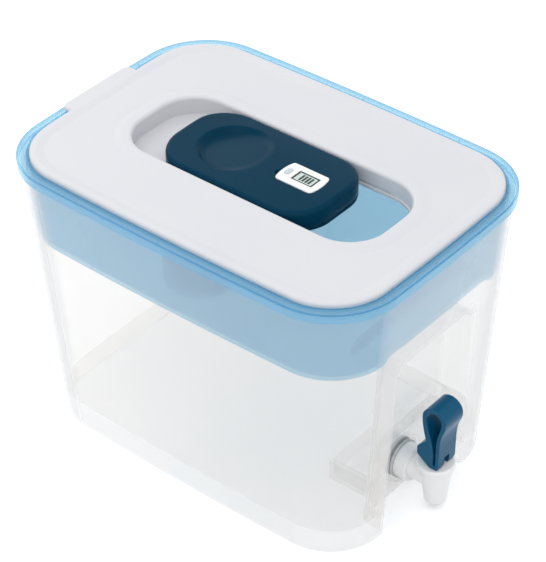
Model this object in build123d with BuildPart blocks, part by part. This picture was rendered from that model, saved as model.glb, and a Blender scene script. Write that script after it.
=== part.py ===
from build123d import *
import os

os.makedirs("parts", exist_ok=True)

# Countertop water filter dispenser, in millimetres.
# X runs to the right, Y to the back, Z up. The tap is at the front, on the -Y side.
# The frame's origin is on the ground, under the middle of the whole object's box.

# Rim of the hopper, the widest outline of the body
rim_length = 370.5
rim_width = 262.4
rim_corner = 62.0
rim_rise = 4.0
side_bow = 3.5
end_bow = 3.2

# Tank
tank_height = 256.0
rim_overhang = 3.4
end_draft = 16.85
side_draft = 16.8
foot_corner = 50.0
tank_wall = 2.5
floor_top = 22.5
floor_thickness = 2.5

# Bay for the tap, cut into the front wall and open at the ground
bay_frame_half_top = 54.0
bay_frame_half_bottom = 56.0
bay_headroom = 71.0
bay_frame_corner = 12.0
bay_bevel_side = 5.0
bay_bevel_top = 13.0
bay_bevel_depth = 4.0
bay_depth = 24.0
bay_back_corner = 8.0

# Arched rib on the back wall of the bay, over the tap
hood_half = 45.5
hood_top = 89.0
hood_band = 9.5
hood_proud = 10.0
hood_corner = 12.0

# Tap
tap_height = 31.5
spout_reach = 176.5
boss_radius = 21.0
boss_proud = 1.6
boss_thickness = 6.0
boss_seat_radius = 17.2
boss_seat_depth = 2.5
shank_radius = 9.5
shank_tail = 18.0
pipe_radius = 11.4
pipe_bore = 5.0
collar_radius = 15.6
collar_length = 11.0
gasket_thickness = 2.4
nut_across_flats = 30.0
nut_thickness = 9.0
spout_bottom = 5.5
spout_tip_radius = 9.4
spout_top_radius = 14.2
spout_bore = 6.8
spout_edge = 1.6
spout_edge_rise = 2.2
body_band = 9.0
body_band_step = 1.6
body_band_edge = 1.1
body_band_bevel = 0.6
chamber_radius = 8.2
valve_seat_height = 14.0
bonnet_radius = 16.0
bonnet_thickness = 4.6
bonnet_top = 48.0
bonnet_plug_depth = 3.4
bonnet_round = 1.4
bonnet_bevel = 1.0
collar_round = 1.2
stem_radius = 2.6
stem_eye_radius = 4.0
stem_eye_width = 4.4
cup_radius = 7.6
cup_height = 9.0
cup_lip = 1.6
cup_shoulder = 4.0
cup_neck_wall = 1.8

# Lever
lever_width = 23.0
lever_pin_height = 60.0
lever_pin_radius = 1.6
lever_top = 111.0
lever_loop_radius = 11.5
lever_loop_lean = 4.5
lever_band = 4.2
lever_foot_reach = 9.3
lever_waist_height = 76.0
lever_slit = 2.4
lever_slit_middle = 7.0
lever_slit_top = 4.0
lever_lug_reach = 11.2
lever_lug_top = 5.6
lever_lug_drop = 2.4
lever_lug_round = 3.2
lever_heel_reach = 5.0
lever_heel_drop = 7.2
lever_sole_back = 1.4
lever_sole_gap = 0.5
lever_toe_cut = 0.8
lever_toe_reach = 0.6
lever_toe_rise = 3.2
lever_shin_reach = 1.2
lever_shin_drop = 4.0
lever_front_belly = 3.4
lever_front_drop = 12.0
lever_back_belly = 6.0
lever_back_drop = 11.0
lever_waist_back = 2.8
lever_waist_drop = 1.0
lever_web_back = 0.2
lever_web_front = 0.6
lever_web_drop = 14.0
lever_pin_cover = 3.2
lever_slot = 6.8
lever_slot_height = 10.2
lever_eye_room = 2.0

# Sump, the deeper part of the floor around the tap's inner end
sump_half = 28.0
sump_length = 46.0
sump_floor = 3.4

# Hopper
hopper_gap = 1.2
hopper_wall = 2.2
hopper_depth = 72.0
hopper_bevel = 5.0
hopper_step_clear = 6.5
hopper_step_slope = 13.0
rim_lip = 1.8
rim_lip_drop = 3.0
rim_flange = 2.3
rim_bead = 1.5
rim_channel = 1.4
rim_tick = 1.0
rim_tick_length = 4.2
rim_tick_root = 0.2
rim_tick_spread = 98.0
rim_end_tick_spread = 100.0
shelf_drop = 10.0
shelf_width = 5.6
shelf_thickness = 2.0

# Filter cartridge in its well under the hopper
well_y = 72.0
well_radius = 30.8
well_depth = 66.0
well_outlet = 21.0
seal_width = 4.0
seal_thickness = 1.8
cartridge_wall = 1.6
cartridge_flange = 2.2
cartridge_taper = 2.4
outlet_hole = 3.2
outlet_hole_count = 8
outlet_hole_share = 0.62
screen_thickness = 0.8
media_share = 0.8
cap_height = 11.0
cap_edge = 1.0
cap_shoulder_share = 0.45
cap_crown_share = 0.55
cap_inner_shoulder_share = 0.38
cap_inner_crown_share = 0.52
cap_slot_count = 12
cap_slot_share = 0.74
cap_slot_length_share = 0.3
cap_slot_width = 2.2
pull_ring_height = 11.0
pull_ring_spread = 1.1
pull_ring_band = 2.6

# Lid
lid_inset = 10.3
lid_rise = 3.4
lid_plate = 4.2
lid_skirt = 2.3
lid_edge_radius = 2.4
lid_border = 5.0
lid_border_slope = 7.0
lid_dish_depth = 1.2
tab_width = 80.0
tab_corner = 7.0

# Oblong recess in the lid, with the pour opening in front
recess_width = 92.0
recess_length = 248.0
recess_corner = 34.0
recess_middle = -5.0
recess_depth = 16.4
recess_wall = 2.8
recess_floor_thickness = 2.5
recess_lip_radius = 3.0
recess_lip = 5.0
pour_back = -48.0
pour_ledge = 1.2

# Sliding cover over the pour opening
cover_length = 159.0
cover_corner = 32.5
cover_middle = 3.5
cover_side_gap = 1.0
cover_proud = 2.6
cover_crown_drop = 2.6
cover_edge_radius = 4.0
cover_wall = 2.6
cover_skin = 5.0
base_plate = 2.2
slide_open = 34.0
slide_close = 50.0
tongue_proud = 1.9
tongue_thickness = 1.3
tongue_length = 87.0
scoop_radius = 32.0
scoop_middle = 30.0
scoop_depth = 7.0
scoop_round_share = 0.6

# Filter change indicator in the cover
indicator_width = 25.4
indicator_length = 39.5
indicator_bow = 2.2
indicator_corner = 3.0
indicator_round = 0.7
indicator_middle = -38.5
indicator_proud = 0.5
indicator_wall = 1.2
indicator_height = 8.2
screen_width = 12.7
screen_length = 20.6
screen_shift = -3.5
screen_sink = 0.3
board_thickness = 1.2
battery_radius = 8.0
battery_thickness = 2.0
button_width = 8.4
button_length = 4.6
button_shift = 13.6
button_rim = 1.0
button_travel = 0.5
button_proud = 0.2
thumb_notch_radius = 3.6
thumb_notch_shift = -5.0

# Clearances
seat_gap = 0.3
running_gap = 0.05
thread_gap = 0.1
moving_gap = 0.4

# Sizes worked out from the values above
tank_length = rim_length - 2 * rim_overhang
tank_width = rim_width - 2 * rim_overhang
tank_corner = rim_corner - rim_overhang
foot_length = tank_length - 2 * end_draft
foot_width = tank_width - 2 * side_draft
rim_top = tank_height + rim_rise
bay_frame_top = tank_height - bay_headroom
hopper_bottom = tank_height - hopper_depth
well_bottom = hopper_bottom - well_depth
lid_top = rim_top + lid_rise
recess_floor = lid_top - recess_depth
cover_crown = lid_top + cover_proud
front_slope = (tank_length - foot_length) / 2 / tank_height
front_reach = spout_reach + max(bonnet_radius, lever_loop_lean + lever_loop_radius)
body_shift = (front_reach - rim_length / 2) / 2
spout_y = -spout_reach
hopper_inset = tank_wall + hopper_gap
neck_inset = rim_overhang + hopper_inset
overrun = 6.0


def level(height):
    """Horizontal plane over the middle of the tank."""
    return Plane(origin=(0, body_shift, height), x_dir=(1, 0, 0), z_dir=(0, 0, 1))


def upright(x):
    """Plane along the middle of the tank whose sketches run in Y and Z."""
    return Plane(origin=(x, body_shift, 0), x_dir=(0, 1, 0), z_dir=(1, 0, 0))


def facing(y):
    """Plane across the tank that looks to the front, for round parts on the tap's axis."""
    return Plane(origin=(0, body_shift + y, tap_height), x_dir=(1, 0, 0), z_dir=(0, -1, 0))


front_face = Plane(
    origin=(0, body_shift - foot_length / 2, 0),
    x_dir=(1, 0, 0),
    z_dir=(0, -1, -front_slope),
)
spout_axis = Axis((0, body_shift + spout_y, 0), (0, 0, 1))
well_axis = Axis((0, body_shift + well_y, 0), (0, 0, 1))


def bowed_face(length, width, corner):
    """Rounded rectangle whose four sides bulge a little."""
    x_mid = width / 2
    y_mid = length / 2
    x_end = x_mid - side_bow
    y_end = y_mid - end_bow
    with BuildSketch(mode=Mode.PRIVATE) as face:
        with BuildLine():
            ThreePointArc((x_end, -y_end), (x_mid, 0), (x_end, y_end))
            ThreePointArc((x_end, y_end), (0, y_mid), (-x_end, y_end))
            ThreePointArc((-x_end, y_end), (-x_mid, 0), (-x_end, -y_end))
            ThreePointArc((-x_end, -y_end), (0, -y_mid), (x_end, -y_end))
        make_face()
        fillet(face.vertices(), radius=corner)
    return face.sketch


def body_section(height, inset):
    """Draw the tapering body's outline at this height, moved inwards by inset."""
    share = height / tank_height
    length = foot_length + share * (tank_length - foot_length) - 2 * inset
    width = foot_width + share * (tank_width - foot_width) - 2 * inset
    corner = foot_corner + share * (tank_corner - foot_corner) - inset
    with BuildSketch(level(height)) as section:
        add(bowed_face(length, width, corner))
    return section.sketch


def rim_face(inset):
    """The rim's outline, moved inwards by inset."""
    return bowed_face(rim_length - 2 * inset, rim_width - 2 * inset, rim_corner - inset)


def rim_section(height, inset):
    """Draw the rim's outline at this height."""
    with BuildSketch(level(height)) as section:
        add(rim_face(inset))
    return section.sketch


def rim_ring(height, outer_inset, inner_inset):
    """Draw the band between two insets of the rim's outline."""
    with BuildSketch(level(height)) as section:
        add(rim_face(outer_inset))
        add(rim_face(inner_inset), mode=Mode.SUBTRACT)
    return section.sketch


def arch_face(half_top, half_bottom, top, corner):
    """Upright outline with round top corners that runs on below the ground."""
    with BuildSketch(mode=Mode.PRIVATE) as face:
        with BuildLine():
            Polyline(
                (-half_bottom, -overrun),
                (-half_top, top),
                (half_top, top),
                (half_bottom, -overrun),
                close=True,
            )
        make_face()
        fillet(face.vertices().group_by(Axis.Y)[-1], radius=corner)
    return face.sketch


def bay_frame(depth, side, top_drop, grow):
    """Draw the bay's outline at a depth behind the front face."""
    with BuildSketch(front_face.offset(-depth)) as section:
        add(
            arch_face(
                bay_frame_half_top - side + grow,
                bay_frame_half_bottom - side + grow,
                bay_frame_top - top_drop + grow,
                bay_frame_corner + grow,
            )
        )
    return section.sketch


def bay_solid(grow):
    """Fill the bay: a shallow bevel like a picture frame, then a deep recess."""
    outer = bay_frame(0, 0, 0, grow)
    inner = bay_frame(bay_bevel_depth, bay_bevel_side, bay_bevel_top, grow)
    extrude(outer, amount=overrun)
    loft([outer, inner])
    extrude(inner, amount=bay_bevel_depth - bay_depth - grow)


def round_bay_back(part, grow):
    """Round the back edges of the bay, except the one below the ground."""
    back_edges = part.faces().sort_by(Axis.Y)[-1].edges().sort_by(Axis.Z)[1:]
    fillet(back_edges, radius=bay_back_corner + grow)


# Room inside the bay
with BuildPart() as bay_space:
    bay_solid(0)
    round_bay_back(bay_space, 0)

# Block that leaves the bay's walls, as thick as the tank's wall
with BuildPart() as bay_block:
    bay_solid(tank_wall)
    round_bay_back(bay_block, tank_wall)
    low = body_section(0, 0)
    high = body_section(tank_height, 0)
    loft([low, high], mode=Mode.INTERSECT)

# Faces of the round boss that carries the tap
boss_front = -foot_length / 2 - front_slope * tap_height + bay_depth - boss_proud
boss_back = boss_front + boss_thickness
gasket_front = boss_front + boss_seat_depth - gasket_thickness
collar_front = gasket_front - collar_length

# Frosted tank with a raised floor, a sump, the tap bay, its arched rib and the tap's boss
with BuildPart() as tank_shell:
    low = body_section(0, 0)
    high = body_section(tank_height, 0)
    loft([low, high])
    low = body_section(floor_top, tank_wall)
    high = body_section(tank_height + overrun, tank_wall)
    loft([low, high], mode=Mode.SUBTRACT)
    low = body_section(-overrun, tank_wall)
    high = body_section(floor_top - floor_thickness, tank_wall)
    loft([low, high], mode=Mode.SUBTRACT)
    sump_back = boss_back + sump_length
    with BuildSketch(level(sump_floor - tank_wall)):
        with Locations((0, (boss_front + sump_back + tank_wall) / 2)):
            Rectangle(2 * (sump_half + tank_wall), sump_back + tank_wall - boss_front)
    extrude(amount=floor_top - sump_floor + tank_wall)
    with BuildSketch(level(sump_floor)):
        with Locations((0, (boss_front + sump_back) / 2)):
            Rectangle(2 * sump_half, sump_back - boss_front)
    extrude(amount=floor_top - sump_floor + overrun, mode=Mode.SUBTRACT)
    add(bay_block.part)
    with BuildSketch(facing(boss_front)):
        Circle(boss_radius)
    extrude(amount=-boss_thickness)
    add(bay_space.part, mode=Mode.SUBTRACT)
    with BuildSketch(front_face.offset(-bay_depth - tank_wall / 2)):
        add(arch_face(hood_half, hood_half, hood_top, hood_corner))
        add(
            arch_face(
                hood_half - hood_band,
                hood_half - hood_band,
                hood_top - hood_band,
                hood_corner - hood_band / 2,
            ),
            mode=Mode.SUBTRACT,
        )
    extrude(amount=hood_proud + tank_wall / 2)
    with BuildSketch(facing(boss_front)):
        Circle(boss_radius)
    extrude(amount=-boss_thickness)
    with BuildSketch(facing(boss_front)):
        Circle(boss_seat_radius)
    extrude(amount=-boss_seat_depth, mode=Mode.SUBTRACT)
    with BuildSketch(facing(boss_front)):
        Circle(shank_radius + seat_gap)
    extrude(amount=-boss_thickness, mode=Mode.SUBTRACT)
    with BuildSketch(level(0)):
        Rectangle(rim_width, rim_length)
    extrude(amount=-overrun, mode=Mode.SUBTRACT)

tank_shell.part.label = "tank_shell"
export_step(tank_shell.part, "parts/tank_shell.step")

# Tap body: threaded shank, pipe and tapering spout in one moulding
with BuildPart() as tap_body:
    body_top = bonnet_top - bonnet_thickness
    band_height = body_top - body_band
    with BuildSketch(upright(0)):
        with BuildLine():
            Polyline(
                (spout_y, spout_bottom),
                (spout_y + spout_tip_radius - spout_edge, spout_bottom),
                (spout_y + spout_tip_radius, spout_bottom + spout_edge_rise),
                (spout_y + spout_top_radius - body_band_step, band_height),
                (spout_y + spout_top_radius - body_band_edge, band_height + body_band_bevel),
                (spout_y + spout_top_radius, body_top),
                (spout_y, body_top),
                close=True,
            )
        make_face()
    revolve(axis=spout_axis)
    with BuildSketch(facing(collar_front)):
        Circle(pipe_radius)
    extrude(amount=collar_front - spout_y)
    with BuildSketch(facing(boss_back + shank_tail)):
        Circle(shank_radius)
    extrude(amount=boss_back + shank_tail - collar_front)
    with BuildSketch(level(valve_seat_height)):
        with Locations((0, spout_y)):
            Circle(chamber_radius)
    extrude(amount=body_top - valve_seat_height, mode=Mode.SUBTRACT)
    with BuildSketch(level(spout_bottom)):
        with Locations((0, spout_y)):
            Circle(spout_bore)
    extrude(amount=valve_seat_height - spout_bottom, mode=Mode.SUBTRACT)
    with BuildSketch(facing(boss_back + shank_tail)):
        Circle(pipe_bore)
    extrude(amount=boss_back + shank_tail - spout_y, mode=Mode.SUBTRACT)

tap_body.part.label = "tap_body"
export_step(tap_body.part, "parts/tap_body.step")

# Bonnet, the round cap that closes the tap's chamber and guides the stem
with BuildPart() as tap_bonnet:
    with BuildSketch(level(body_top)):
        with Locations((0, spout_y)):
            Circle(bonnet_radius)
    extrude(amount=bonnet_thickness)
    fillet(tap_bonnet.edges().group_by(Axis.Z)[-1], radius=bonnet_round)
    chamfer(tap_bonnet.edges().group_by(Axis.Z)[0], length=bonnet_bevel)
    with BuildSketch(level(body_top - bonnet_plug_depth)):
        with Locations((0, spout_y)):
            Circle(chamber_radius - thread_gap)
    extrude(amount=bonnet_plug_depth)
    with BuildSketch(level(body_top - bonnet_plug_depth)):
        with Locations((0, spout_y)):
            Circle(stem_radius + seat_gap)
    extrude(amount=bonnet_plug_depth + bonnet_thickness, mode=Mode.SUBTRACT)

tap_bonnet.part.label = "tap_bonnet"
export_step(tap_bonnet.part, "parts/tap_bonnet.step")


def tap_ring(name, front, thickness, outer_radius):
    """Ring round the shank, from its front face backwards."""
    with BuildPart() as ring:
        with BuildSketch(facing(front)):
            Circle(outer_radius)
            Circle(shank_radius + thread_gap, mode=Mode.SUBTRACT)
        extrude(amount=-thickness)
    ring.part.label = name
    export_step(ring.part, "parts/" + name + ".step")
    return ring


# Gaskets on both sides of the boss
outer_gasket = tap_ring("outer_gasket", gasket_front, gasket_thickness, boss_seat_radius - seat_gap)
inner_gasket = tap_ring("inner_gasket", boss_back, gasket_thickness, boss_seat_radius)

# Collar between the pipe's shoulder and the outer gasket
with BuildPart() as tap_collar:
    with BuildSketch(facing(collar_front)):
        Circle(collar_radius)
    extrude(amount=-collar_length)
    fillet(tap_collar.edges().group_by(Axis.Y)[0], radius=collar_round)
    with BuildSketch(facing(collar_front)):
        Circle(shank_radius + thread_gap)
    extrude(amount=-collar_length, mode=Mode.SUBTRACT)

tap_collar.part.label = "tap_collar"
export_step(tap_collar.part, "parts/tap_collar.step")

# Hexagonal lock nut inside the tank
with BuildPart() as lock_nut:
    with BuildSketch(facing(boss_back + gasket_thickness)):
        RegularPolygon(radius=nut_across_flats / 2, side_count=6, major_radius=False)
        Circle(shank_radius + thread_gap, mode=Mode.SUBTRACT)
    extrude(amount=-nut_thickness)

lock_nut.part.label = "lock_nut"
export_step(lock_nut.part, "parts/lock_nut.step")

# Silicone valve cup that closes the spout's seat
cup_bottom = valve_seat_height + seat_gap
stem_foot = cup_bottom + cup_height / 2
with BuildPart() as valve_cup:
    with BuildSketch(upright(0)):
        with BuildLine():
            Polyline(
                (spout_y, cup_bottom),
                (spout_y + cup_radius, cup_bottom),
                (spout_y + cup_radius, cup_bottom + cup_lip),
                (spout_y + stem_radius + cup_neck_wall, cup_bottom + cup_shoulder),
                (spout_y + stem_radius + cup_neck_wall, cup_bottom + cup_height),
                (spout_y + stem_radius, cup_bottom + cup_height),
                (spout_y + stem_radius, stem_foot),
                (spout_y, stem_foot),
                close=True,
            )
        make_face()
    revolve(axis=spout_axis)

valve_cup.part.label = "valve_cup"
export_step(valve_cup.part, "parts/valve_cup.step")

# Valve stem with the eye that the lever's pin goes through
with BuildPart() as valve_stem:
    with BuildSketch(level(stem_foot)):
        with Locations((0, spout_y)):
            Circle(stem_radius)
    extrude(amount=lever_pin_height - stem_foot)
    with BuildSketch(upright(-stem_eye_width / 2)):
        with Locations((spout_y, lever_pin_height)):
            Circle(stem_eye_radius)
    extrude(amount=stem_eye_width)
    with BuildSketch(upright(-stem_eye_width / 2)):
        with Locations((spout_y, lever_pin_height)):
            Circle(lever_pin_radius)
    extrude(amount=stem_eye_width, mode=Mode.SUBTRACT)

valve_stem.part.label = "valve_stem"
export_step(valve_stem.part, "parts/valve_stem.step")

# Pin pressed into the stem's eye, on which the lever turns
lever_pin_half = lever_width / 2 - lever_pin_cover
with BuildPart() as lever_pin:
    with BuildSketch(upright(-lever_pin_half)):
        with Locations((spout_y, lever_pin_height)):
            Circle(lever_pin_radius)
    extrude(amount=2 * lever_pin_half)

lever_pin.part.label = "lever_pin"
export_step(lever_pin.part, "parts/lever_pin.step")

# Lever: a band bent into a tall loop, with a cam lug behind and two feet in front
with BuildPart() as tap_lever:
    loop_y = spout_y - lever_loop_lean
    loop_z = lever_top - lever_loop_radius
    foot_z = bonnet_top + lever_sole_gap
    slit_front = spout_y - lever_slit_middle
    waist_back = spout_y + lever_waist_back
    toe_y = spout_y - lever_foot_reach
    shin = (toe_y - lever_shin_reach, lever_waist_height - lever_shin_drop)
    waist = (waist_back, lever_waist_height - lever_waist_drop)
    slit_z = lever_pin_height + lever_slit_top
    lug_back = spout_y + lever_lug_reach
    with BuildSketch(upright(-lever_width / 2)) as lever_side:
        with BuildLine():
            ThreePointArc(
                (loop_y - lever_loop_radius, loop_z),
                (loop_y, lever_top),
                (loop_y + lever_loop_radius, loop_z),
            )
            Spline(
                (loop_y + lever_loop_radius, loop_z),
                (spout_y + lever_back_belly, loop_z - lever_back_drop),
                waist,
                tangents=((0, -1), (-0.3, -1)),
            )
            Polyline(
                waist,
                (lug_back, lever_pin_height + lever_lug_top),
                (lug_back, lever_pin_height - lever_lug_drop),
                (spout_y + lever_heel_reach, lever_pin_height - lever_heel_drop),
                (spout_y - lever_sole_back, foot_z),
                (toe_y + lever_toe_cut, foot_z),
                (toe_y - lever_toe_reach, foot_z + lever_toe_rise),
                shin,
            )
            Spline(
                shin,
                (toe_y - lever_front_belly, loop_z - lever_front_drop),
                (loop_y - lever_loop_radius, loop_z),
                tangents=((-0.05, 1), (0, 1)),
            )
        make_face()
        corners = lever_side.vertices().filter_by_position(Axis.Y, 0, lever_waist_height)
        fillet(corners.sort_by(Axis.X)[-2:], radius=lever_lug_round)
        with BuildLine():
            inner = lever_loop_radius - lever_band
            ThreePointArc(
                (loop_y - inner, loop_z),
                (loop_y, loop_z + inner),
                (loop_y + inner, loop_z),
            )
            Spline(
                (loop_y + inner, loop_z),
                (spout_y + lever_web_back, loop_z - lever_web_drop),
                (slit_front + lever_slit, slit_z),
                tangents=((0, -1), (-0.1, -1)),
            )
            Polyline(
                (slit_front + lever_slit, slit_z),
                (slit_front + lever_slit, foot_z + lever_slit_top),
                (slit_front, foot_z + lever_slit_top),
                (slit_front, slit_z),
            )
            Spline(
                (slit_front, slit_z),
                (toe_y + lever_web_front, loop_z - lever_web_drop),
                (loop_y - inner, loop_z),
                tangents=((-0.02, 1), (0, 1)),
            )
        make_face(mode=Mode.SUBTRACT)
    extrude(amount=lever_width)
    with BuildSketch(upright(-lever_slot / 2)):
        with Locations((spout_y, foot_z + lever_slot_height / 2)):
            Rectangle(4 * lever_lug_reach, lever_slot_height)
        with Locations((spout_y + 2 * lever_lug_reach - lever_heel_reach, lever_pin_height)):
            Rectangle(4 * lever_lug_reach, 2 * (stem_eye_radius + lever_eye_room))
    extrude(amount=lever_slot, mode=Mode.SUBTRACT)
    with BuildSketch(upright(-lever_pin_half - seat_gap)):
        with Locations((spout_y, lever_pin_height)):
            Circle(lever_pin_radius + running_gap)
    extrude(amount=2 * (lever_pin_half + seat_gap), mode=Mode.SUBTRACT)

tap_lever.part.label = "tap_lever"
export_step(tap_lever.part, "parts/tap_lever.step")

# Room inside the hopper: the bowl, stepped up over the tap bay, and the neck above it
step_top = bay_frame_top + tank_wall + hopper_step_clear
step_half = bay_frame_half_top + tank_wall + hopper_step_clear
bay_back = bay_depth + tank_wall - foot_length / 2 - front_slope * hopper_bottom
step_back = bay_back + hopper_step_clear


def step_block(grow, low):
    """Wedge-sided block over the tap bay that the hopper's floor steps up over."""
    block_back = step_back + grow
    block_plane = Plane(
        origin=(0, body_shift + block_back, 0),
        x_dir=(1, 0, 0),
        z_dir=(0, -1, 0),
    )
    with BuildPart(mode=Mode.PRIVATE) as block:
        with BuildSketch(block_plane):
            with BuildLine():
                Polyline(
                    (-step_half - hopper_step_slope - grow, low),
                    (-step_half - grow, step_top + grow),
                    (step_half + grow, step_top + grow),
                    (step_half + hopper_step_slope + grow, low),
                    close=True,
                )
            make_face()
        extrude(amount=rim_length / 2)
    return block.part


outer_step = step_block(0, hopper_bottom - overrun)
inner_step = step_block(hopper_wall, hopper_bottom - overrun)

with BuildPart() as bowl_space:
    inner_inset = hopper_inset + hopper_wall
    inner_floor = hopper_bottom + hopper_wall
    low = body_section(inner_floor, inner_inset + hopper_bevel)
    high = body_section(inner_floor + hopper_bevel, inner_inset)
    loft([low, high])
    low = body_section(inner_floor + hopper_bevel, inner_inset)
    high = body_section(tank_height, inner_inset)
    loft([low, high])
    add(inner_step, mode=Mode.SUBTRACT)
    extrude(rim_section(tank_height, neck_inset + hopper_wall), amount=rim_top - tank_height)

# Clear blue hopper with its rim, the lid's shelf and the cartridge's well
with BuildPart() as hopper:
    low = body_section(hopper_bottom, hopper_inset + hopper_bevel)
    high = body_section(hopper_bottom + hopper_bevel, hopper_inset)
    loft([low, high])
    low = body_section(hopper_bottom + hopper_bevel, hopper_inset)
    high = body_section(tank_height, hopper_inset)
    loft([low, high])
    add(outer_step, mode=Mode.SUBTRACT)
    flange_bottom = tank_height + seat_gap
    extrude(rim_section(tank_height, neck_inset), amount=rim_top - tank_height)
    extrude(rim_section(flange_bottom, 0), amount=rim_top - flange_bottom)
    lip = rim_ring(tank_height - rim_lip_drop, 0, rim_lip)
    extrude(lip, amount=rim_top - tank_height + rim_lip_drop)
    channel = rim_ring(flange_bottom + rim_flange, rim_lip, neck_inset + hopper_wall - rim_bead)
    extrude(channel, amount=rim_top, mode=Mode.SUBTRACT)
    add(bowl_space.part, mode=Mode.SUBTRACT)
    shelf = rim_ring(
        rim_top - shelf_drop - shelf_thickness,
        neck_inset + hopper_wall / 2,
        neck_inset + hopper_wall + shelf_width,
    )
    extrude(shelf, amount=shelf_thickness)
    tick_inset = rim_lip + rim_tick_length / 2 - rim_tick_root
    with BuildSketch(level(flange_bottom + rim_flange)):
        with GridLocations(rim_width - 2 * tick_inset, rim_tick_spread, 2, 3):
            Rectangle(rim_tick_length, rim_tick)
        with GridLocations(rim_end_tick_spread, rim_length - 2 * tick_inset, 2, 2):
            Rectangle(rim_tick, rim_tick_length)
    extrude(amount=rim_channel / 2)
    with BuildSketch(level(well_bottom)):
        with Locations((0, well_y)):
            Circle(well_radius + hopper_wall)
    extrude(amount=inner_floor - well_bottom)
    with BuildSketch(level(well_bottom + hopper_wall)):
        with Locations((0, well_y)):
            Circle(well_radius)
    extrude(amount=inner_floor - well_bottom, mode=Mode.SUBTRACT)
    with BuildSketch(level(well_bottom)):
        with Locations((0, well_y)):
            Circle(well_outlet)
    extrude(amount=hopper_wall, mode=Mode.SUBTRACT)

hopper.part.label = "hopper"
export_step(hopper.part, "parts/hopper.step")

# Silicone ring on the hopper's floor round the well
with BuildPart() as well_seal:
    with BuildSketch(level(inner_floor)):
        with Locations((0, well_y)):
            Circle(well_radius + seal_width)
            Circle(well_radius, mode=Mode.SUBTRACT)
    extrude(amount=seal_thickness)

well_seal.part.label = "well_seal"
export_step(well_seal.part, "parts/well_seal.step")

# Filter cartridge's tapering cup, whose flange sits on the seal
flange_low = inner_floor + seal_thickness + seat_gap
cartridge_bottom = well_bottom + hopper_wall + seat_gap
cup_top_radius = well_radius - moving_gap
cup_bottom_radius = cup_top_radius - cartridge_taper
with BuildPart() as cartridge_shell:
    with BuildSketch(upright(0)):
        with BuildLine():
            Polyline(
                (well_y, cartridge_bottom),
                (well_y + cup_bottom_radius, cartridge_bottom),
                (well_y + cup_top_radius, flange_low),
                (well_y + well_radius + seal_width, flange_low),
                (well_y + well_radius + seal_width, flange_low + cartridge_flange),
                (well_y + cup_top_radius - cartridge_wall, flange_low + cartridge_flange),
                (well_y + cup_bottom_radius - cartridge_wall, cartridge_bottom + cartridge_wall),
                (well_y, cartridge_bottom + cartridge_wall),
                close=True,
            )
        make_face()
    revolve(axis=well_axis)
    with BuildSketch(level(cartridge_bottom)):
        with Locations((0, well_y)):
            with PolarLocations(outlet_hole_share * cup_bottom_radius, outlet_hole_count):
                Circle(outlet_hole)
            Circle(outlet_hole)
    extrude(amount=cartridge_wall, mode=Mode.SUBTRACT)

cartridge_shell.part.label = "cartridge_shell"
export_step(cartridge_shell.part, "parts/cartridge_shell.step")

# Fine screen on the cup's floor
screen_radius = cup_bottom_radius - cartridge_wall - moving_gap
with BuildPart() as cartridge_screen:
    with BuildSketch(level(cartridge_bottom + cartridge_wall)):
        with Locations((0, well_y)):
            Circle(screen_radius)
    extrude(amount=screen_thickness)

cartridge_screen.part.label = "cartridge_screen"
export_step(cartridge_screen.part, "parts/cartridge_screen.step")

# Bed of filter granules
media_bottom = cartridge_bottom + cartridge_wall + screen_thickness
with BuildPart() as cartridge_media:
    with BuildSketch(level(media_bottom)):
        with Locations((0, well_y)):
            Circle(screen_radius)
    extrude(amount=media_share * (flange_low - media_bottom))

cartridge_media.part.label = "cartridge_media"
export_step(cartridge_media.part, "parts/cartridge_media.step")

# Slotted cap on top of the cartridge
cap_bottom = flange_low + cartridge_flange
cap_radius = well_radius + seal_width - cap_edge
with BuildPart() as cartridge_cap:
    with BuildSketch(upright(0)):
        with BuildLine():
            Polyline(
                (well_y + cap_radius, cap_bottom),
                (well_y + cap_radius, cap_bottom + cap_shoulder_share * cap_height),
                (well_y + cap_crown_share * cap_radius, cap_bottom + cap_height),
                (well_y, cap_bottom + cap_height),
                (well_y, cap_bottom + cap_height - cartridge_wall),
                (
                    well_y + cap_inner_crown_share * cap_radius,
                    cap_bottom + cap_height - cartridge_wall,
                ),
                (
                    well_y + cap_radius - cartridge_wall,
                    cap_bottom + cap_inner_shoulder_share * cap_height,
                ),
                (well_y + cap_radius - cartridge_wall, cap_bottom),
                close=True,
            )
        make_face()
    revolve(axis=well_axis)
    with BuildSketch(level(cap_bottom + cap_height / 2)):
        with Locations((0, well_y)):
            with PolarLocations(cap_slot_share * cap_radius, cap_slot_count):
                SlotOverall(cap_slot_length_share * cap_radius, cap_slot_width)
    extrude(amount=cap_height, mode=Mode.SUBTRACT)

cartridge_cap.part.label = "cartridge_cap"
export_step(cartridge_cap.part, "parts/cartridge_cap.step")

# Pull ring that stands on the cap
ring_bottom = cap_bottom + cap_height
with BuildPart() as pull_ring:
    with BuildSketch(upright(-pull_ring_band / 2)):
        with Locations((well_y, ring_bottom)):
            Ellipse(pull_ring_spread * pull_ring_height, pull_ring_height)
            Ellipse(
                pull_ring_spread * pull_ring_height - pull_ring_band,
                pull_ring_height - pull_ring_band,
                mode=Mode.SUBTRACT,
            )
        with Locations((well_y, ring_bottom - pull_ring_height)):
            Rectangle(4 * pull_ring_height, 2 * pull_ring_height, mode=Mode.SUBTRACT)
    extrude(amount=pull_ring_band)

pull_ring.part.label = "pull_ring"
export_step(pull_ring.part, "parts/pull_ring.step")


def recess_face(grow):
    """Oblong outline of the lid's recess, larger all round by grow."""
    with BuildSketch(mode=Mode.PRIVATE) as face:
        with Locations((0, recess_middle)):
            RectangleRounded(
                recess_width + 2 * grow,
                recess_length + 2 * grow,
                recess_corner + grow,
            )
    return face.sketch


def recess_section(height, grow):
    """Draw the recess's outline at this height."""
    with BuildSketch(level(height)) as section:
        add(recess_face(grow))
    return section.sketch


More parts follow.
